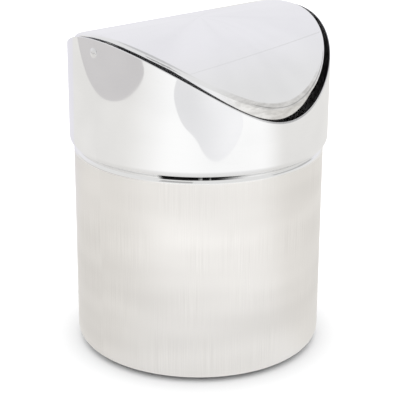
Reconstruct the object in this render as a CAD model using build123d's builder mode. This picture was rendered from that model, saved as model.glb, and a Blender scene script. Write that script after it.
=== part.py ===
from build123d import *
from math import sqrt
import os

# A countertop bin with a push top. A drawn sheet-metal can stands on a thin foot ring.
# A round hood plugs into the mouth of the can and lifts off. Its top edge is cut to an
# arch, and an arched flap hangs in it on two rivets, so either side of it pushes down.
# Millimetres, +Z up, origin on the floor under the middle of the can. The rivets lie
# along X, and the flap opens to the front (-Y) and to the back (+Y).

# Sheet that the can, the hood, the plug ring and the flap are pressed from
sheet = 0.5

# Can, with its base dished up inside the foot ring and its rim rolled in to a short lip
can_radius = 60.0
can_height = 101.0
can_corner_radius = 5.5
dish_margin = 1.0
dish_rise = 2.0
dish_slope_width = 2.5
dish_bend_radius = 2.0
rim_roll_radius = 2.8
rim_land = 1.0
rim_lip_radius = 1.0
rim_lip_depth = 3.5

# Foot ring
foot_thickness = 1.0
foot_width = 7.5
foot_inset = 0.5

# Hood: the arch falls from its crown over the rivets to the front and the back
hood_overhang = 2.0
hood_height = 58.1
hood_shoulder_radius = 4.2
arch_drop = 36.1

# Plug ring, which is welded inside the hood and drops into the can
plug_clearance = 0.3
plug_depth = 10.0
plug_flange_width = 2.7
plug_bend_radius = 0.8
plug_lead_height = 3.0
plug_lead_in = 0.8
plug_lead_bend_radius = 3.0

# Flap, with a turned-down flange and an ear at each rivet
flap_gap = 2.5
flap_rise = 1.6
flap_bend_radius = 2.0
flange_depth = 8.0
ear_width = 19.0
ear_tail_radius = 4.5
ear_tail_clearance = 0.3
ear_fillet_radius = 2.0
ear_plate_thickness = 1.0
ear_plate_inset = 2.0
ear_plate_gap = 1.0
ear_plate_corner_radius = 1.5

# Rivets, spacers and washers
pivot_below_crown = 6.0
shank_radius = 1.5
tight_clearance = 0.02
running_clearance = 0.08
head_radius = 2.3
head_height = 0.8
head_edge = 0.2
tail_head_radius = 2.4
tail_head_height = 0.8
spacer_radius = 3.4
spacer_seat_gap = 0.02
end_float = 0.35
washer_radius = 3.2
washer_thickness = 0.6

# Heights and radii that follow from these
half_sheet = sheet / 2
hood_radius = can_radius + hood_overhang
arch_radius = (hood_radius**2 + arch_drop**2) / (2 * arch_drop)
rim_crown = can_height + hood_height
flap_crown = rim_crown + flap_rise
pivot_height = rim_crown - pivot_below_crown
wall_inner = hood_radius - sheet
mouth_radius = can_radius - rim_roll_radius - rim_land - rim_lip_radius
plug_radius = mouth_radius - plug_clearance
plug_foot = can_height - plug_depth
flap_radius = wall_inner - flap_gap
ear_inner = flap_radius - sheet
plate_inner = ear_inner - ear_plate_thickness
foot_radius = can_radius - can_corner_radius - foot_inset
dish_radius = foot_radius - foot_width - dish_margin - dish_slope_width
tight_hole_radius = shank_radius + tight_clearance
running_hole_radius = shank_radius + running_clearance
washer_outer = plate_inner - end_float
washer_inner = washer_outer - washer_thickness

# An ear reaches as far from its rivet as the hood's round wall lets it pass in turning
ear_reach = sqrt((wall_inner - ear_tail_clearance) ** 2 - flap_radius**2)
tail_drop = ear_reach - ear_tail_radius

os.makedirs("parts", exist_ok=True)


def under_arch(crown, radius):
    """Draws what lies under an arch across the bin, down to the floor."""
    with BuildSketch() as outline:
        with Locations((0, crown - radius)):
            Circle(radius)
            Rectangle(2 * radius, crown - radius, align=(Align.CENTER, Align.MAX))
    return outline.sketch


def ear_outline(inset):
    """Draws an ear from the crown to its round tail, drawn in at its sides by inset."""
    half_width = ear_width / 2 - inset
    with BuildSketch() as outline:
        with BuildLine():
            Line((-half_width, flap_crown), (half_width, flap_crown))
        with Locations((0, pivot_height - tail_drop)):
            Circle(ear_tail_radius - inset)
        make_hull()
    return outline.sketch


def flap_form(inset):
    """Makes the flap's rounded outer form, or its hollow when inset by the sheet."""
    with BuildPart() as form:
        with BuildSketch():
            Circle(flap_radius - inset)
        extrude(amount=flap_crown)
        with BuildSketch(Plane.YZ):
            add(under_arch(flap_crown - inset, arch_radius - inset))
        extrude(amount=flap_radius, both=True, mode=Mode.INTERSECT)
        fillet(form.edges().group_by(Axis.Z)[-1], flap_bend_radius - inset)
    return form.part


def save(piece, name):
    """Labels a finished piece and writes it as its own file."""
    piece.part.label = name
    export_step(piece.part, f"parts/{name}.step")


def save_pair(piece, name):
    """Saves a piece made at the right-hand rivet, and its mirror image at the left."""
    save(piece, f"{name}_right")
    with BuildPart() as twin:
        mirror(piece.part, about=Plane.YZ)
    save(twin, f"{name}_left")


# Can: the middle of its sheet runs from the base's centre to the lip inside the rim
with BuildPart() as can_shell:
    with BuildSketch(Plane.XZ):
        with BuildLine():
            FilletPolyline(
                (0, foot_thickness + dish_rise + half_sheet),
                (dish_radius, foot_thickness + dish_rise + half_sheet),
                (dish_radius + dish_slope_width, foot_thickness + half_sheet),
                (can_radius - half_sheet, foot_thickness + half_sheet),
                (can_radius - half_sheet, can_height - half_sheet),
                (mouth_radius + half_sheet, can_height - half_sheet),
                (mouth_radius + half_sheet, can_height - rim_lip_depth),
                radius=[
                    dish_bend_radius,
                    dish_bend_radius,
                    can_corner_radius - half_sheet,
                    rim_roll_radius - half_sheet,
                    rim_lip_radius - half_sheet,
                ],
            )
        trace(line_width=sheet)
    revolve(axis=Axis.Z)
save(can_shell, "can_shell")

# Foot ring: a flat ring bonded to the level part of the base
with BuildPart() as foot_ring:
    with BuildSketch():
        Circle(foot_radius)
        Circle(foot_radius - foot_width, mode=Mode.SUBTRACT)
    extrude(amount=foot_thickness)
save(foot_ring, "foot_ring")

# Hood: a wall with a turned-in shoulder, cut to the arch, with a hole for each rivet
with BuildPart() as hood_shell:
    with BuildSketch(Plane.XZ):
        with BuildLine():
            FilletPolyline(
                (plug_radius + plug_bend_radius, can_height + half_sheet),
                (hood_radius - half_sheet, can_height + half_sheet),
                (hood_radius - half_sheet, rim_crown + sheet),
                radius=hood_shoulder_radius - half_sheet,
            )
        trace(line_width=sheet)
    revolve(axis=Axis.Z)
    with BuildSketch(Plane.YZ):
        add(under_arch(rim_crown, arch_radius))
        with Locations((0, pivot_height)):
            Circle(tight_hole_radius, mode=Mode.SUBTRACT)
    extrude(amount=hood_radius, both=True, mode=Mode.INTERSECT)
save(hood_shell, "hood_shell")

# Plug ring: a flange on the hood's own flange, and a skirt that narrows at its foot
with BuildPart() as plug_ring:
    with BuildSketch(Plane.XZ):
        with BuildLine():
            FilletPolyline(
                (plug_radius + plug_flange_width, can_height + sheet + half_sheet),
                (plug_radius - half_sheet, can_height + sheet + half_sheet),
                (plug_radius - half_sheet, plug_foot + plug_lead_height),
                (plug_radius - half_sheet - plug_lead_in, plug_foot),
                radius=[plug_bend_radius, plug_lead_bend_radius],
            )
        trace(line_width=sheet)
    revolve(axis=Axis.Z)
save(plug_ring, "plug_ring")

# Flap: an arched cap, trimmed below so that its flange and its two ears stay
with BuildPart() as flap_panel:
    add(flap_form(0))
    add(flap_form(sheet), mode=Mode.SUBTRACT)
    with BuildSketch(Plane.YZ) as trim:
        add(under_arch(flap_crown - flange_depth, arch_radius))
        add(ear_outline(0), mode=Mode.SUBTRACT)
        fillet(trim.vertices().group_by(Axis.Y)[-1], ear_fillet_radius)
        with Locations((0, pivot_height)):
            Circle(running_hole_radius)
    extrude(amount=flap_radius, both=True, mode=Mode.SUBTRACT)
save(flap_panel, "flap_panel")

# Ear plate: welded inside the ear, it gives the rivet a wider bearing
with BuildPart() as ear_plate:
    with BuildSketch(Plane.YZ) as plate_outline:
        add(ear_outline(ear_plate_inset))
        with Locations((0, flap_crown - flap_bend_radius - ear_plate_gap)):
            Rectangle(ear_width, flange_depth, align=(Align.CENTER, Align.MIN), mode=Mode.SUBTRACT)
        fillet(plate_outline.vertices().group_by(Axis.Y)[-1], ear_plate_corner_radius)
        with Locations((0, pivot_height)):
            Circle(running_hole_radius, mode=Mode.SUBTRACT)
    extrude(amount=ear_inner)
    with BuildSketch():
        Circle(ear_inner)
        Circle(plate_inner, mode=Mode.SUBTRACT)
    extrude(amount=flap_crown, mode=Mode.INTERSECT)
save_pair(ear_plate, "ear_plate")

# Rivet: a low domed head outside the hood, and a tail head closed over the washer
with BuildPart() as rivet:
    with BuildSketch(Plane.XZ):
        with BuildLine():
            sides = Polyline(
                (hood_radius + head_edge, pivot_height + head_radius),
                (hood_radius, pivot_height + head_radius),
                (hood_radius, pivot_height + shank_radius),
                (washer_inner, pivot_height + shank_radius),
                (washer_inner, pivot_height + tail_head_radius),
                (washer_inner - head_edge, pivot_height + tail_head_radius),
            )
            middle = Line(
                (hood_radius + head_height, pivot_height),
                (washer_inner - tail_head_height, pivot_height),
            )
            TangentArc(middle @ 0, sides @ 0, tangent=(0, 1))
            TangentArc(middle @ 1, sides @ 1, tangent=(0, 1))
        make_face()
    revolve(axis=Axis((0, 0, pivot_height), (1, 0, 0)))
save_pair(rivet, "rivet")

# Spacer: a bush on the rivet that keeps the ear off the hood's round wall
with BuildPart() as spacer:
    with BuildSketch(Plane.YZ.offset(flap_radius + end_float)):
        with Locations((0, pivot_height)):
            Circle(spacer_radius)
            Circle(tight_hole_radius, mode=Mode.SUBTRACT)
    extrude(amount=flap_gap)
    with BuildSketch():
        Circle(wall_inner - spacer_seat_gap)
    extrude(amount=rim_crown, mode=Mode.INTERSECT)
save_pair(spacer, "spacer")

# Washer: it sits under the rivet's tail head and keeps the ear on
with BuildPart() as washer:
    with BuildSketch(Plane.YZ.offset(washer_inner)):
        with Locations((0, pivot_height)):
            Circle(washer_radius)
            Circle(tight_hole_radius, mode=Mode.SUBTRACT)
    extrude(amount=washer_thickness)
save_pair(washer, "washer")
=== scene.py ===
import math

import bpy
from mathutils import Matrix, Vector


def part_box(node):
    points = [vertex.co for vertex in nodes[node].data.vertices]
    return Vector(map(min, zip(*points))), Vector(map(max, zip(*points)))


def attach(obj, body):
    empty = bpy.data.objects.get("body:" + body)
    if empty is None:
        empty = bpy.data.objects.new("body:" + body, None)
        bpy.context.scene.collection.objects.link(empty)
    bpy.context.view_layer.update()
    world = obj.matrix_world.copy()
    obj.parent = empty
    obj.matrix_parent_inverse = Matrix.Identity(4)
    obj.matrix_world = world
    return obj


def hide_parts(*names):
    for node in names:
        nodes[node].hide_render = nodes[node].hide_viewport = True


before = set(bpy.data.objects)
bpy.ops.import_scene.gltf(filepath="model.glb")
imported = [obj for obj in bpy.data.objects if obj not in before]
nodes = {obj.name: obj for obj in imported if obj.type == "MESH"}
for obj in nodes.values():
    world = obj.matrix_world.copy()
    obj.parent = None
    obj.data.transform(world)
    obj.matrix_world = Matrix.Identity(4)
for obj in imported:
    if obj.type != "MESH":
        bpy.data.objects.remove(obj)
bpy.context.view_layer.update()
mm = 0.001

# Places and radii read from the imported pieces
canLow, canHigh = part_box("can_shell")
hoodLow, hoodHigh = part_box("hood_shell")
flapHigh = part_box("flap_panel")[1]
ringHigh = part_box("plug_ring")[1]
sheet = 0.5 * mm
archDrop = 36.1 * mm
archRadius = (hoodHigh.x ** 2 + archDrop ** 2) / (2 * archDrop)
archCentre = hoodHigh.z - archRadius
print("frame loaded:", len(nodes), "nodes")


# Shader helpers

def newMaterial(name):
    material = bpy.data.materials.new(name)
    material.use_nodes = True
    tree = material.node_tree
    tree.nodes.clear()
    output = tree.nodes.new("ShaderNodeOutputMaterial")
    return material, tree, output


def setInput(tree, socket, value):
    if isinstance(value, bpy.types.NodeSocket):
        tree.links.new(value, socket)
    else:
        socket.default_value = value


def addNode(tree, kind, settings=None, inputs=None, prefix="ShaderNode"):
    # inputs go by the socket's name or number
    made = tree.nodes.new(prefix + kind)
    for key, value in (settings or {}).items():
        setattr(made, key, value)
    for key, value in (inputs or {}).items():
        setInput(tree, made.inputs[key], value)
    return made


def calc(tree, operation, first, second=0.0):
    return addNode(tree, "Math", {"operation": operation}, {0: first, 1: second}).outputs[0]


def ramp(tree, value, low, high, outLow=0.0, outHigh=1.0):
    ends = {0: value, 1: low, 2: high, 3: outLow, 4: outHigh}
    return addNode(tree, "MapRange", {"interpolation_type": "SMOOTHSTEP"}, ends).outputs[0]


def objectPoint(tree):
    return addNode(tree, "TexCoord").outputs["Object"]


def noiseOn(tree, point, scale, stretch=(1, 1, 1), detail=3.0):
    mapped = addNode(tree, "Mapping", None, {"Vector": point, "Scale": stretch})
    sizes = {"Vector": mapped.outputs[0], "Scale": scale, "Detail": detail, "Roughness": 0.55}
    return addNode(tree, "TexNoise", None, sizes).outputs[0]


def mixColour(tree, factor, first, second):
    return addNode(tree, "Mix", {"data_type": "RGBA"}, {0: factor, 6: first, 7: second}).outputs[2]


def hypotenuse(tree, first, second):
    squares = calc(tree, "ADD", calc(tree, "POWER", first, 2.0), calc(tree, "POWER", second, 2.0))
    return calc(tree, "SQRT", squares)


def bumped(tree, height, depth, strength=1.0, under=None):
    sizes = {"Height": height, "Distance": depth, "Strength": strength}
    if under is not None:
        sizes["Normal"] = under
    return addNode(tree, "Bump", None, sizes).outputs[0]


def wallPlaces(tree):
    # where a point lies on the round metal, also with its wall rolled out flat
    point = objectPoint(tree)
    parts = addNode(tree, "SeparateXYZ", None, {0: point}).outputs
    radius = hypotenuse(tree, parts[0], parts[1])
    angle = calc(tree, "ARCTAN2", parts[1], parts[0])
    flat = {0: calc(tree, "MULTIPLY", angle, canHigh.x), 1: parts[2], 2: radius}
    unrolled = addNode(tree, "CombineXYZ", None, flat).outputs[0]
    return dict(point=point, depth=parts[1], height=parts[2], radius=radius, angle=angle, unrolled=unrolled)


def innerFaces(tree, places, shell):
    # one on the inner side of a shell with a rounded corner, nought on its outer side
    across = calc(tree, "SUBTRACT", places["radius"], shell["radius"] - shell["corner"])
    if "low" in shell:
        along = calc(tree, "SUBTRACT", shell["low"] + shell["corner"], places["height"])
    else:
        above = calc(tree, "SUBTRACT", places["height"], shell["archCentre"])
        along = calc(tree, "SUBTRACT", hypotenuse(tree, places["depth"], above), archRadius - shell["corner"])
    outward = hypotenuse(tree, calc(tree, "MAXIMUM", across, 0.0), calc(tree, "MAXIMUM", along, 0.0))
    edge = shell["corner"] - sheet / 2
    return ramp(tree, outward, edge - shell["blend"], edge + shell["blend"], 1.0, 0.0)


def brushStreaks(tree, places, look):
    streaks = noiseOn(tree, places["unrolled"], 1.0, look["streaks"], detail=4.0)
    if "patches" in look:
        # the brush bit harder in some places than in others
        bite = noiseOn(tree, places["unrolled"], 1.0, look["patches"], detail=1.0)
        bite = ramp(tree, bite, *look["toneRange"], *look["biteRange"])
        streaks = calc(tree, "MULTIPLY", calc(tree, "SUBTRACT", streaks, 0.5), bite)
        streaks = calc(tree, "ADD", streaks, 0.5)
    return streaks


def steelTone(tree, places, streaks, look):
    clouds = noiseOn(tree, places["point"], look["cloudScale"], detail=2.0)
    bands = noiseOn(tree, places["unrolled"], 1.0, look["bands"], detail=1.0)
    streakShare = 1 - look["cloudShare"] - look["bandShare"]
    clouds = calc(tree, "MULTIPLY", clouds, look["cloudShare"])
    tone = calc(tree, "ADD", clouds, calc(tree, "MULTIPLY", streaks, streakShare))
    return calc(tree, "ADD", tone, calc(tree, "MULTIPLY", bands, look["bandShare"]))


def dullEdge(tree, places, colour, rough, edgeLook):
    # beyond its bend the flap is duller and blotchy, where it was drawn deepest
    edge = ramp(tree, places["radius"], edgeLook["bend"], edgeLook["bend"] + edgeLook["blend"])
    fromMiddle = calc(tree, "ABSOLUTE", places["depth"])
    drawn = ramp(tree, fromMiddle, edgeLook["drawnFrom"], edgeLook["drawnTo"])
    edge = calc(tree, "MULTIPLY", edge, drawn)
    blotches = noiseOn(tree, places["unrolled"], 1.0, edgeLook["blotches"], detail=3.0)
    blotches = ramp(tree, blotches, *edgeLook["blotchRange"])
    edgeColour = mixColour(tree, blotches, edgeLook["dark"], edgeLook["light"])
    rough = calc(tree, "ADD", rough, calc(tree, "MULTIPLY", edge, edgeLook["rough"]))
    return mixColour(tree, edge, colour, edgeColour), rough


def paintedJointShadow(tree, places, colour, jointShadow):
    # painted shade: where the joint stands a little open at the front, the shadow in its gap is painted on
    # the hood's shoulder as a dark line that breaks up
    angle = places["angle"]
    begun = ramp(tree, angle, jointShadow["start"], jointShadow["start"] + jointShadow["startFade"])
    left = ramp(tree, angle, jointShadow["stop"] - jointShadow["stopFade"], jointShadow["stop"], 1.0, 0.0)
    breaks = noiseOn(tree, places["unrolled"], 1.0, jointShadow["breaks"])
    breaks = ramp(tree, breaks, *jointShadow["breakRange"])
    broken = jointShadow["start"] + jointShadow["brokenFrom"]
    whole = ramp(tree, angle, jointShadow["start"] + jointShadow["wholeTo"], broken, 1.0, 0.0)
    line = calc(tree, "MULTIPLY", calc(tree, "MULTIPLY", begun, left), calc(tree, "MAXIMUM", whole, breaks))
    low = ramp(tree, places["height"], jointShadow["top"] - jointShadow["topFade"], jointShadow["top"], 1.0, 0.0)
    return mixColour(tree, calc(tree, "MULTIPLY", line, low), colour, jointShadow["colour"])


def polishedRoll(tree, places, colour, rough, roll):
    # the rolled rim was polished after the wall was brushed
    polish = ramp(tree, places["height"], roll["bottom"], roll["bottom"] + roll["blend"])
    brushed = calc(tree, "MULTIPLY", rough, calc(tree, "SUBTRACT", 1.0, polish))
    rough = calc(tree, "ADD", brushed, calc(tree, "MULTIPLY", polish, roll["rough"]))
    return mixColour(tree, polish, colour, roll["colour"]), rough


def steel(name, look):
    material, tree, output = newMaterial(name)
    places = wallPlaces(tree)
    streaks = brushStreaks(tree, places, look)
    tone = steelTone(tree, places, streaks, look)
    colour = mixColour(tree, ramp(tree, tone, *look["toneRange"]), look["dark"], look["light"])
    rough = ramp(tree, tone, *look["toneRange"], look["roughHigh"], look["roughLow"])

    if "inside" in look:
        inside = innerFaces(tree, places, look["inside"])
        colour = mixColour(tree, inside, colour, look["innerColour"])
        rough = calc(tree, "ADD", rough, calc(tree, "MULTIPLY", inside, look["innerRough"]))
    if "edge" in look:
        colour, rough = dullEdge(tree, places, colour, rough, look["edge"])
    # painted shade of the open joint, a dark line low on the hood's shoulder
    if "jointShadow" in look:
        colour = paintedJointShadow(tree, places, colour, look["jointShadow"])
    if "roll" in look:
        colour, rough = polishedRoll(tree, places, colour, rough, look["roll"])

    wave = noiseOn(tree, places["point"], look["waveScale"], detail=1.0)
    normal = bumped(tree, streaks, look["streakDepth"], look["streakBump"])
    normal = bumped(tree, wave, look["waveDepth"], under=normal)
    shader = addNode(tree, "BsdfPrincipled", None, {
        "Base Color": colour, "Roughness": rough, "Normal": normal,
        "Metallic": 1.0, "Anisotropic": look["anisotropy"],
    })
    if look["anisotropy"]:
        tangent = addNode(tree, "Tangent", {"direction_type": "RADIAL", "axis": "Z"})
        tree.links.new(tangent.outputs[0], shader.inputs["Tangent"])
    tree.links.new(shader.outputs[0], output.inputs[0])
    return material


def moulded(name, look):
    material, tree, output = newMaterial(name)
    grain = noiseOn(tree, objectPoint(tree), look["grainScale"])
    shader = addNode(tree, "BsdfPrincipled", None, {
        "Base Color": mixColour(tree, ramp(tree, grain, *look["toneRange"]), look["dark"], look["light"]),
        "Roughness": ramp(tree, grain, *look["roughRange"], look["roughLow"], look["roughHigh"]),
        "Normal": bumped(tree, grain, look["grainDepth"], look["grainBump"]),
    })
    tree.links.new(shader.outputs[0], output.inputs[0])
    return material


def paint(material, *names):
    for name in names:
        for slot in nodes[name].material_slots:
            slot.material = material


# Looks of the metals, the nylon and the rubber: colours, roughness, and grain in metres

polished = dict(
    dark=(0.90, 0.90, 0.905, 1), light=(0.95, 0.95, 0.955, 1), roughLow=0.02, roughHigh=0.045,
    toneRange=(0.34, 0.66), cloudScale=30.0, cloudShare=0.3,
    streaks=(90.0, 500.0, 1.0), bands=(40.0, 40.0, 1.0), bandShare=0.62,
    streakBump=0.004, streakDepth=0.002 * mm, waveScale=22.0, waveDepth=0.05 * mm, anisotropy=0.0,
    innerColour=(0.62, 0.62, 0.63, 1), innerRough=0.24,
)
hoodLook = dict(
    polished,
    inside=dict(radius=hoodHigh.x, corner=4.2 * mm, low=hoodLow.z, blend=0.05 * mm),
    # painted shadow line of the open joint: where it runs round, how it breaks up, and its dark colour
    jointShadow=dict(
        start=-2.62, startFade=0.06, wholeTo=0.3, brokenFrom=0.42, stop=-1.86, stopFade=0.3,
        top=102.1 * mm, topFade=0.3 * mm, breaks=(260.0, 0.0, 0.0), breakRange=(0.36, 0.44),
        colour=(0.015, 0.015, 0.015, 1),
    ),
)
flapLook = dict(
    polished,
    inside=dict(radius=flapHigh.x, corner=2.0 * mm, archCentre=flapHigh.z - archRadius, blend=0.05 * mm),
    edge=dict(
        bend=flapHigh.x - 1.8 * mm, blend=0.5 * mm, drawnFrom=47 * mm, drawnTo=56 * mm,
        dark=(0.66, 0.65, 0.635, 1), light=(0.82, 0.81, 0.795, 1), rough=0.05,
        blotches=(160.0, 420.0, 1.0), blotchRange=(0.35, 0.65),
    ),
)
brushed = dict(
    dark=(0.82, 0.80, 0.775, 1), light=(0.97, 0.95, 0.925, 1), roughLow=0.28, roughHigh=0.38,
    toneRange=(0.34, 0.66), cloudScale=12.0, cloudShare=0.3,
    streaks=(3600.0, 38.0, 1.0), bands=(11.0, 52.0, 1.0), bandShare=0.32,
    patches=(60.0, 26.0, 1.0), biteRange=(0.1, 1.05),
    streakBump=0.15, streakDepth=0.01 * mm, waveScale=20.0, waveDepth=0.02 * mm, anisotropy=0.5,
)
canLook = dict(
    brushed, roll=dict(bottom=97.9 * mm, blend=0.8 * mm, colour=(0.92, 0.92, 0.915, 1), rough=0.07),
)
satin = dict(
    brushed, dark=(0.72, 0.72, 0.71, 1), light=(0.82, 0.82, 0.81, 1), roughLow=0.20, roughHigh=0.30,
    anisotropy=0.0,
)
bright = dict(
    polished, dark=(0.78, 0.78, 0.785, 1), light=(0.88, 0.88, 0.885, 1), roughLow=0.10, roughHigh=0.18,
)
weldLook = dict(
    satin, dark=(0.40, 0.34, 0.28, 1), light=(0.62, 0.57, 0.50, 1), roughLow=0.30, roughHigh=0.42,
)
nylon = dict(
    dark=(0.75, 0.74, 0.70, 1), light=(0.80, 0.79, 0.75, 1), roughLow=0.42, roughHigh=0.50,
    toneRange=(0.35, 0.65), roughRange=(0.3, 0.7), grainScale=900.0, grainDepth=0.05 * mm, grainBump=0.3,
)
rubber = dict(
    nylon, dark=(0.02, 0.02, 0.021, 1), light=(0.035, 0.035, 0.035, 1), roughLow=0.68, roughHigh=0.80,
    grainScale=1500.0,
)

canSteel = steel("brushed_can", canLook)
hoodSteel = steel("polished_hood", hoodLook)
ringSteel = steel("satin_ring", satin)
weldSteel = steel("weld_mark", weldLook)
paint(canSteel, "can_shell")
paint(hoodSteel, "hood_shell")
paint(steel("polished_flap", flapLook), "flap_panel")
paint(ringSteel, "plug_ring")
paint(steel("satin_plate", satin), "ear_plate_left", "ear_plate_right")
paint(steel("rivet_steel", bright), "rivet_left", "rivet_right")
paint(steel("washer_steel", satin), "washer_left", "washer_right")
paint(moulded("spacer_nylon", nylon), "spacer_left", "spacer_right")
paint(moulded("foot_rubber", rubber), "foot_ring")
print("materials on", len(nodes), "nodes")


# Turned sheet metal: a profile of points (radius, share of the arch, height) goes round Z,
# and what lies closer than seamGap is one point where the round closes

seamGap = 0.0005 * mm


def newTree(name, sockets):
    tree = bpy.data.node_groups.new(name, "GeometryNodeTree")
    for label, kind in sockets:
        tree.interface.new_socket(label, in_out="INPUT", socket_type="NodeSocket" + kind)
    tree.interface.new_socket("Geometry", in_out="OUTPUT", socket_type="NodeSocketGeometry")
    start = tree.nodes.new("NodeGroupInput")
    end = tree.nodes.new("NodeGroupOutput")
    return tree, start.outputs, end.inputs[0]


def geoNode(tree, kind, settings=None, inputs=None):
    return addNode(tree, kind, settings, inputs, "GeometryNode")


def finishTree(tree, geometry, material, end):
    smooth = geoNode(tree, "SetShadeSmooth", None, {0: geometry}).outputs[0]
    plainMesh = geoNode(tree, "RealizeInstances", None, {0: smooth}).outputs[0]
    painted = geoNode(tree, "SetMaterial", None, {0: plainMesh, "Material": material}).outputs[0]
    tree.links.new(painted, end)


def turnedTree():
    tree, given, end = newTree("turnedSheet", [
        ("Profile", "Object"), ("Steps Round", "Int"), ("Arch Radius", "Float"),
        ("Arch Centre", "Float"), ("Material", "Material"),
    ])
    source = geoNode(tree, "ObjectInfo", None, {"Object": given["Profile"]}).outputs["Geometry"]
    count = geoNode(tree, "AttributeDomainSize", {"component": "MESH"}, {0: source}).outputs["Point Count"]
    rows = calc(tree, "ADD", count, 1.0)
    columns = calc(tree, "ADD", given["Steps Round"], 1.0)
    grid = geoNode(tree, "MeshGrid", None, {"Vertices X": columns, "Vertices Y": rows}).outputs["Mesh"]
    index = geoNode(tree, "InputIndex").outputs[0]
    column = calc(tree, "FLOOR", calc(tree, "DIVIDE", calc(tree, "ADD", index, 0.5), rows))
    row = calc(tree, "SUBTRACT", index, calc(tree, "MULTIPLY", column, rows))
    row = calc(tree, "MODULO", row, count)
    picked = geoNode(tree, "SampleIndex", {"data_type": "FLOAT_VECTOR", "domain": "POINT"}, {
        "Geometry": source, "Value": geoNode(tree, "InputPosition").outputs[0],
        "Index": calc(tree, "ADD", row, 0.25),
    }).outputs[0]
    parts = addNode(tree, "SeparateXYZ", None, {0: picked}).outputs
    angle = calc(tree, "DIVIDE", calc(tree, "MULTIPLY", column, 2 * math.pi), given["Steps Round"])
    ahead = calc(tree, "MULTIPLY", parts[0], calc(tree, "COSINE", angle))
    aside = calc(tree, "MULTIPLY", parts[0], calc(tree, "SINE", angle))
    square = calc(tree, "POWER", given["Arch Radius"], 2.0)
    squares = calc(tree, "SUBTRACT", square, calc(tree, "POWER", aside, 2.0))
    arch = calc(tree, "ADD", calc(tree, "SQRT", squares), given["Arch Centre"])
    height = calc(tree, "ADD", parts[2], calc(tree, "MULTIPLY", parts[1], arch))
    place = addNode(tree, "CombineXYZ", None, {0: ahead, 1: aside, 2: height}).outputs[0]
    moved = geoNode(tree, "SetPosition", None, {"Geometry": grid, "Position": place}).outputs[0]
    joined = geoNode(tree, "MergeByDistance", None, {"Geometry": moved, "Distance": seamGap}).outputs[0]
    # a closed base leaves one bare edge on the axis
    bare = calc(tree, "LESS_THAN", geoNode(tree, "InputMeshEdgeNeighbors").outputs[0], 0.5)
    onEdges = {"domain": "EDGE", "mode": "EDGE_FACE"}
    kept = geoNode(tree, "DeleteGeometry", onEdges, {0: joined, 1: bare}).outputs[0]
    finishTree(tree, kept, given["Material"], end)
    return tree


def dotTree():
    tree, given, end = newTree("dotRing", [
        ("Count", "Int"), ("Ring Radius", "Float"), ("Ring Height", "Float"), ("Dot Radius", "Float"),
        ("Dot Segments", "Int"), ("Dot Rings", "Int"), ("Dot Flatness", "Float"), ("Material", "Material"),
    ])
    circle = {"Vertices": given["Count"], "Radius": given["Ring Radius"]}
    ring = geoNode(tree, "MeshCircle", None, circle).outputs[0]
    lift = addNode(tree, "CombineXYZ", None, {2: given["Ring Height"]}).outputs[0]
    raised = geoNode(tree, "SetPosition", None, {"Geometry": ring, "Offset": lift}).outputs[0]
    ball = geoNode(tree, "MeshUVSphere", None, {
        "Segments": given["Dot Segments"], "Rings": given["Dot Rings"], "Radius": given["Dot Radius"],
    }).outputs[0]
    size = addNode(tree, "CombineXYZ", None, {0: 1.0, 1: 1.0, 2: given["Dot Flatness"]}).outputs[0]
    spread = {"Points": raised, "Instance": ball, "Scale": size}
    dots = geoNode(tree, "InstanceOnPoints", None, spread).outputs[0]
    finishTree(tree, dots, given["Material"], end)
    return tree


def growPiece(name, tree, values):
    # runs the tree once and keeps its result as a plain mesh
    holder = bpy.data.objects.new(name + "Holder", bpy.data.meshes.new(name + "Holder"))
    bpy.context.scene.collection.objects.link(holder)
    modifier = holder.modifiers.new("grow", "NODES")
    modifier.node_group = tree
    for item in tree.interface.items_tree:
        if item.in_out == "INPUT":
            modifier[item.identifier] = values[item.name]
    evaluated = holder.evaluated_get(bpy.context.evaluated_depsgraph_get())
    mesh = bpy.data.meshes.new_from_object(evaluated)
    holder.modifiers.clear()
    bpy.data.objects.remove(holder)
    piece = bpy.data.objects.new(name, mesh)
    bpy.context.scene.collection.objects.link(piece)
    return piece


def middleLine(corners, radii, steps=8, support=0.25 * mm):
    # the line through the corners with each one rounded, as places with their left-hand normals
    corners = [Vector(corner) for corner in corners]
    line = []
    heading = (corners[1] - corners[0]).normalized()
    line.append((corners[0], Vector((-heading.y, heading.x))))
    for before, corner, after, radius in zip(corners, corners[1:], corners[2:], radii):
        heading = (corner - before).normalized()
        leaving = (after - corner).normalized()
        turn = heading.angle_signed(leaving)
        reach = radius * math.tan(abs(turn) / 2)
        side = -1 if turn > 0 else 1
        normal = Vector((-heading.y, heading.x))
        centre = corner - heading * reach + normal * side * radius
        line.append((corner - heading * (reach + support), normal))
        for step in range(steps + 1):
            out = Matrix.Rotation(-turn * step / steps, 2) @ (-normal * side)
            line.append((centre + out * radius, out * -side))
        line.append((corner + leaving * (reach + support), Vector((-leaving.y, leaving.x))))
    heading = (corners[-1] - corners[-2]).normalized()
    line.append((corners[-1], Vector((-heading.y, heading.x))))
    return line


def edgeRound(end, heading, normal, softness):
    # a cut edge of the sheet, its two corners slightly rounded
    edge = []
    for side, angles in ((1, (0, 30, 60, 90)), (-1, (90, 60, 30, 0))):
        centre = end + normal * side * (sheet / 2 - softness) - heading * softness
        ways = [(math.cos(math.radians(angle)), math.sin(math.radians(angle))) for angle in angles]
        ring = [centre + (normal * side * outward + heading * ahead) * softness for outward, ahead in ways]
        guard = [centre + normal * side * softness - heading * softness]
        edge += guard + ring if side == 1 else ring + guard
    return edge


def sheetOutline(line, softness):
    # goes up the right-hand side of the line, round its end and back down its left-hand side
    half = sheet / 2
    first, last = line[0], line[-1]
    startHeading = Vector((first[1].y, -first[1].x))
    endHeading = Vector((last[1].y, -last[1].x))
    outline = [place - normal * half for place, normal in line[1:-1]]
    outline += edgeRound(last[0], endHeading, -last[1], softness)
    outline += [place + normal * half for place, normal in reversed(line[1:-1])]
    outline += edgeRound(first[0], -startHeading, first[1], softness)
    return outline


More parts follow.
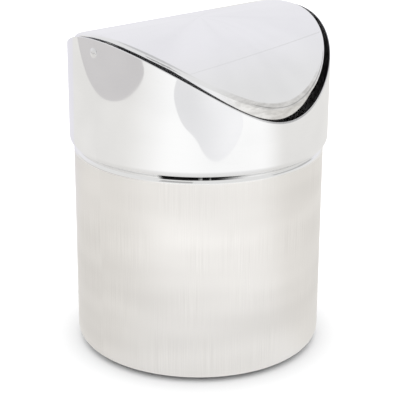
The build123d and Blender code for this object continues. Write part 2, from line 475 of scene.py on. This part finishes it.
def turnedPiece(name, node, profile, steps, material, body, tree):
    points = bpy.data.meshes.new(name + "Profile")
    points.from_pydata(profile, [], [])
    holder = bpy.data.objects.new(name + "Profile", points)
    bpy.context.scene.collection.objects.link(holder)
    piece = growPiece(name, tree, {
        "Profile": holder, "Steps Round": steps, "Arch Radius": archRadius, "Arch Centre": archCentre,
        "Material": material,
    })
    bpy.data.objects.remove(holder)
    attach(piece, body)
    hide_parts(node)
    print(name, len(piece.data.polygons), "faces")


turned = turnedTree()

# The hood's wall runs up to rimMark, from where its edge follows the arch
hoodShape = dict(
    flangeEnd=55.7 * mm, shoulder=4.2 * mm, softness=0.12 * mm, rimMark=150 * mm, rimReach=2 * mm, steps=360,
)
middleRadius = hoodHigh.x - sheet / 2
hoodLine = middleLine([
    (hoodShape["flangeEnd"], hoodLow.z + sheet / 2),
    (middleRadius, hoodLow.z + sheet / 2),
    (middleRadius, hoodShape["rimMark"]),
], [hoodShape["shoulder"] - sheet / 2])
hoodProfile = []
for place in sheetOutline(hoodLine, hoodShape["softness"]):
    if place.y > hoodShape["rimMark"] - hoodShape["rimReach"]:
        hoodProfile.append((place.x, 1.0, place.y - hoodShape["rimMark"]))
    else:
        hoodProfile.append((place.x, 0.0, place.y))
turnedPiece(
    "hoodWall", "hood_shell", hoodProfile, hoodShape["steps"], hoodSteel, "hood", turned,
)

canShape = dict(
    dishRadius=43.0 * mm, dishRise=2.0 * mm, dishSlope=2.5 * mm, dishBend=2.0 * mm, corner=5.5 * mm,
    roll=2.8 * mm, lipRadius=55.2 * mm, lipBend=1.0 * mm, lipDepth=3.5 * mm, softness=0.12 * mm, steps=256,
)
middleRadius = canHigh.x - sheet / 2
lipRadius = canShape["lipRadius"] + sheet / 2
levelHeight = canLow.z + sheet / 2
dishHeight = levelHeight + canShape["dishRise"]
canLine = middleLine([
    (0.0, dishHeight),
    (canShape["dishRadius"], dishHeight),
    (canShape["dishRadius"] + canShape["dishSlope"], levelHeight),
    (middleRadius, levelHeight),
    (middleRadius, canHigh.z - sheet / 2),
    (lipRadius, canHigh.z - sheet / 2),
    (lipRadius, canHigh.z - canShape["lipDepth"]),
], [
    canShape["dishBend"], canShape["dishBend"], canShape["corner"] - sheet / 2,
    canShape["roll"] - sheet / 2, canShape["lipBend"] - sheet / 2,
])
lipEnd, lipSide = canLine[-1]
canOutline = [Vector((0.0, dishHeight - sheet / 2))]
canOutline += [place - normal * sheet / 2 for place, normal in canLine[1:-1]]
canOutline += edgeRound(lipEnd, Vector((0.0, -1.0)), -lipSide, canShape["softness"])
canOutline += [place + normal * sheet / 2 for place, normal in reversed(canLine[1:-1])]
canOutline += [Vector((0.0, dishHeight + sheet / 2))]
canProfile = [(place.x, 0.0, place.y) for place in canOutline]
turnedPiece("canWall", "can_shell", canProfile, canShape["steps"], canSteel, "can", turned)

welds = dict(count=24, ringRadius=56.7 * mm, dotRadius=0.65 * mm, segments=16, rings=8, flatness=0.16)
weldDots = growPiece("ringWelds", dotTree(), {
    "Count": welds["count"], "Ring Radius": welds["ringRadius"], "Ring Height": ringHigh.z,
    "Dot Radius": welds["dotRadius"], "Dot Segments": welds["segments"], "Dot Rings": welds["rings"],
    "Dot Flatness": welds["flatness"], "Material": weldSteel,
})
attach(weldDots, "hood")
print("turned sheet and welds made")


# Camera, placed as it stood for the photo: sizes in the picture in pixels, distances in metres

photo = dict(
    size=400, sensor=36.0, focalPixels=1336.6, centreX=198.33, centreY=196.04,
    distance=0.6174, height=0.2938, pitch=0.3457, roll=0.0044, pivotTurn=0.8495,
    clipStart=0.02, clipEnd=20.0,
)


def placeCamera(view):
    data = bpy.data.cameras.new("photoCamera")
    camera = bpy.data.objects.new("photoCamera", data)
    bpy.context.scene.collection.objects.link(camera)
    data.sensor_width = view["sensor"]
    data.lens = view["focalPixels"] * view["sensor"] / view["size"]
    data.shift_x = (view["size"] / 2 - view["centreX"]) / view["size"]
    data.shift_y = (view["centreY"] - view["size"] / 2) / view["size"]
    data.clip_start = view["clipStart"]
    data.clip_end = view["clipEnd"]
    towards = Vector((-math.cos(view["pivotTurn"]), -math.sin(view["pivotTurn"]), 0))
    camera.location = towards * view["distance"] + Vector((0, 0, view["height"]))
    forward = -towards * math.cos(view["pitch"]) - Vector((0, 0, math.sin(view["pitch"])))
    turnedView = forward.to_track_quat("-Z", "Y").to_matrix() @ Matrix.Rotation(view["roll"], 3, "Z")
    camera.rotation_euler = turnedView.to_euler()
    bpy.context.scene.camera = camera
    return towards


towardsCamera = placeCamera(photo)
rightOfCamera = Vector((-towardsCamera.y, towardsCamera.x, 0))
print("camera placed")


# Studio: a white floor, a pale room, and cards that only show as reflections.
# Turns are in degrees to the right of the camera, reaches and heights in metres

studio = dict(
    floorHalf=4.0, floorColour=(0.93, 0.93, 0.93, 1), floorLight=1.62,
    roomBack=(0.86, 0.855, 0.89, 1), roomSide=(0.80, 0.80, 0.80, 1), roomTop=(0.58, 0.58, 0.59, 1),
    roomBackFrom=(0.1, 0.75), roomTopFrom=(0.82, 0.97),
    tableFront=(1.03, 1.03, 1.025, 1), tableSide=(0.83, 0.82, 0.80, 1), tableBack=(0.82, 0.81, 0.86, 1),
    frontFrom=(-66, -18), frontTo=(50, 78), backTo=(-138, -133),
    # painted shadow of the bin on the reflected table: how far it reaches, and how much of the glow is left
    # at its foot on the sides and in front
    binShadowReach=(0.10, 0.24), binShadowSide=0.93, binShadowFront=0.81,
)
# flat cards lie just above the table, with outlines in millimetres: towards the camera, to its right
flatCards = dict(
    leftCard=dict(
        material="card_left", colour=(0.645, 0.63, 0.63, 1), lift=1,
        outline=[
            (-900, -660), (-300, -565), (80, -514), (340, -447), (415, -434), (448, -441), (462, -462),
            (470, -1200), (-900, -1200),
        ],
    ),
    frontCard=dict(
        material="card_front", colour=(0.82, 0.82, 0.83, 1), lift=1,
        paler=(0.97, 0.97, 0.98, 1), palerFrom=(-0.10, 0.22),
        outline=[
            (466, -110), (448, -20), (404, 30), (376, 90), (368, 170), (370, 240), (384, 284), (418, 290),
            (470, 250), (650, 200), (650, -150), (575, -190), (535, -196), (505, -175),
        ],
    ),
)
# upright cards have a turn, a low and a high edge at both ends
uprightCards = dict(
    cameraCard=dict(
        material="card_dark", colour=(0.45, 0.45, 0.45, 1), distance=0.9,
        ends=[(-34, 0.25, 0.75), (-5, 0.25, 0.75)],
    ),
    rightCard=dict(
        material="card_right", colour=(0.50, 0.50, 0.50, 1), distance=1.0,
        ends=[(70, 0.36, 0.64), (128, 0.36, 0.64)],
    ),
    rod=dict(
        material="rod_grey", colour=(0.70, 0.70, 0.71, 1), distance=1.0,
        ends=[(124, 1.62, 1.632), (146, 0.99, 1.002)],
    ),
)


def dotWith(tree, vector, direction):
    product = addNode(tree, "VectorMath", {"operation": "DOT_PRODUCT"}, {0: vector, 1: direction})
    return product.outputs["Value"]


def glow(card):
    # a card of one tone, or one that gets paler towards the right
    material, tree, output = newMaterial(card["material"])
    colour = card["colour"]
    if "paler" in card:
        across = dotWith(tree, objectPoint(tree), tuple(rightOfCamera))
        colour = mixColour(tree, ramp(tree, across, *card["palerFrom"]), colour, card["paler"])
    shader = addNode(tree, "Emission", None, {"Color": colour})
    tree.links.new(shader.outputs[0], output.inputs[0])
    return material


def panel(name, corners, material, isFloor=False):
    mesh = bpy.data.meshes.new(name)
    mesh.from_pydata(corners, [], [tuple(range(len(corners)))])
    mesh.materials.append(material)
    made = bpy.data.objects.new(name, mesh)
    bpy.context.scene.collection.objects.link(made)
    made.visible_camera = isFloor
    made.visible_diffuse = isFloor
    made.visible_shadow = isFloor
    made.visible_glossy = not isFloor


def ringPoint(turn, distance, height):
    # a place by its turn to the right of the camera's direction, in degrees
    angle = math.radians(turn)
    way = towardsCamera * math.cos(angle) + rightOfCamera * math.sin(angle)
    return way * distance + Vector((0, 0, height))


def standingCard(name, card, steps=4):
    # goes round in flat steps from the card's left end to its right one
    (turnA, lowA, highA), (turnB, lowB, highB) = card["ends"]
    material = glow(card)
    for step in range(steps):
        shares = (step / steps, (step + 1) / steps)
        turns = [turnA + (turnB - turnA) * share for share in shares]
        lows = [lowA + (lowB - lowA) * share for share in shares]
        highs = [highA + (highB - highA) * share for share in shares]
        corners = [ringPoint(turn, card["distance"], low) for turn, low in zip(turns, lows)]
        corners += [ringPoint(turn, card["distance"], high) for turn, high in zip(turns[::-1], highs[::-1])]
        panel(f"{name}{step}", corners, material)


def floorPoint(ahead, right, height):
    return (towardsCamera * ahead + rightOfCamera * right + Vector((0, 0, height))) * mm


def makeWorld():
    made = bpy.data.worlds.new("studio")
    made.use_nodes = True
    tree = made.node_tree
    tree.nodes.clear()
    output = tree.nodes.new("ShaderNodeOutputWorld")
    way = addNode(tree, "TexCoord").outputs["Generated"]
    toBack = dotWith(tree, way, tuple(-towardsCamera))
    upward = dotWith(tree, way, (0, 0, 1))
    behind = ramp(tree, toBack, *studio["roomBackFrom"])
    roomColour = mixColour(tree, behind, studio["roomSide"], studio["roomBack"])
    roomColour = mixColour(tree, ramp(tree, upward, *studio["roomTopFrom"]), roomColour, studio["roomTop"])
    path = addNode(tree, "LightPath").outputs
    seen = addNode(tree, "Background", None, {0: (1, 1, 1, 1), 1: 1.0}).outputs[0]
    room = addNode(tree, "Background", None, {0: roomColour, 1: 1.0}).outputs[0]
    light = addNode(tree, "Background", None, {0: (1, 1, 1, 1), 1: studio["floorLight"]}).outputs[0]
    lit = addNode(tree, "MixShader", None, {0: path["Is Glossy Ray"], 1: light, 2: room}).outputs[0]
    mixed = addNode(tree, "MixShader", None, {0: path["Is Camera Ray"], 1: lit, 2: seen}).outputs[0]
    tree.links.new(mixed, output.inputs[0])
    bpy.context.scene.world = made


# the table seen in reflections glows: a painted pool of light in front, duller at the sides and back, and
# painted shadow of the bin close round it
def tableGlow():
    material, tree, output = newMaterial("table_light")
    point = objectPoint(tree)
    ahead = dotWith(tree, point, tuple(towardsCamera))
    right = dotWith(tree, point, tuple(rightOfCamera))
    turn = calc(tree, "MULTIPLY", calc(tree, "ARCTAN2", right, ahead), math.degrees(1))
    inFront = ramp(tree, turn, *studio["frontFrom"])
    inFront = calc(tree, "MULTIPLY", inFront, ramp(tree, turn, *studio["frontTo"], 1.0, 0.0))
    colour = mixColour(tree, inFront, studio["tableSide"], studio["tableFront"])
    behind = ramp(tree, turn, *studio["backTo"], 1.0, 0.0)
    colour = mixColour(tree, behind, colour, studio["tableBack"])
    reach = hypotenuse(tree, ahead, right)
    # painted shadow of the bin: the glow drops close round it, more in front than on the sides
    binShadowSide = ramp(tree, reach, *studio["binShadowReach"], studio["binShadowSide"], 1.0)
    binShadowFront = ramp(tree, reach, *studio["binShadowReach"], studio["binShadowFront"], 1.0)
    difference = calc(tree, "SUBTRACT", binShadowFront, binShadowSide)
    shadowedStrength = calc(tree, "ADD", binShadowSide, calc(tree, "MULTIPLY", inFront, difference))
    shader = addNode(tree, "Emission", None, {"Color": colour, "Strength": shadowedStrength})
    tree.links.new(shader.outputs[0], output.inputs[0])
    return material


def softened(corners, rounds=3):
    # cuts the corners off an outline, again and again
    for _ in range(rounds):
        cut = []
        for (a, b), (c, d) in zip(corners, corners[1:] + corners[:1]):
            cut += [(0.75 * a + 0.25 * c, 0.75 * b + 0.25 * d), (0.25 * a + 0.75 * c, 0.25 * b + 0.75 * d)]
        corners = cut
    return corners


def buildStage():
    half = studio["floorHalf"]
    square = [Vector((x, y, 0)) for x, y in ((-half, -half), (half, -half), (half, half), (-half, half))]
    floorMaterial, tree, output = newMaterial("floor_white")
    shader = addNode(tree, "BsdfDiffuse", None, {"Color": studio["floorColour"]})
    tree.links.new(shader.outputs[0], output.inputs[0])
    panel("floor", square, floorMaterial, isFloor=True)
    panel("table", square, tableGlow())
    for name, card in flatCards.items():
        corners = [floorPoint(ahead, right, card["lift"]) for ahead, right in softened(card["outline"])]
        panel(name, corners, glow(card))
    for name, card in uprightCards.items():
        standingCard(name, card)


makeWorld()
buildStage()
bpy.context.scene.cycles.glossy_bounces = 12
bpy.context.scene.cycles.caustics_reflective = False
bpy.context.scene.view_settings.view_transform = "Standard"
bpy.context.scene.view_settings.look = "None"
print("studio built")
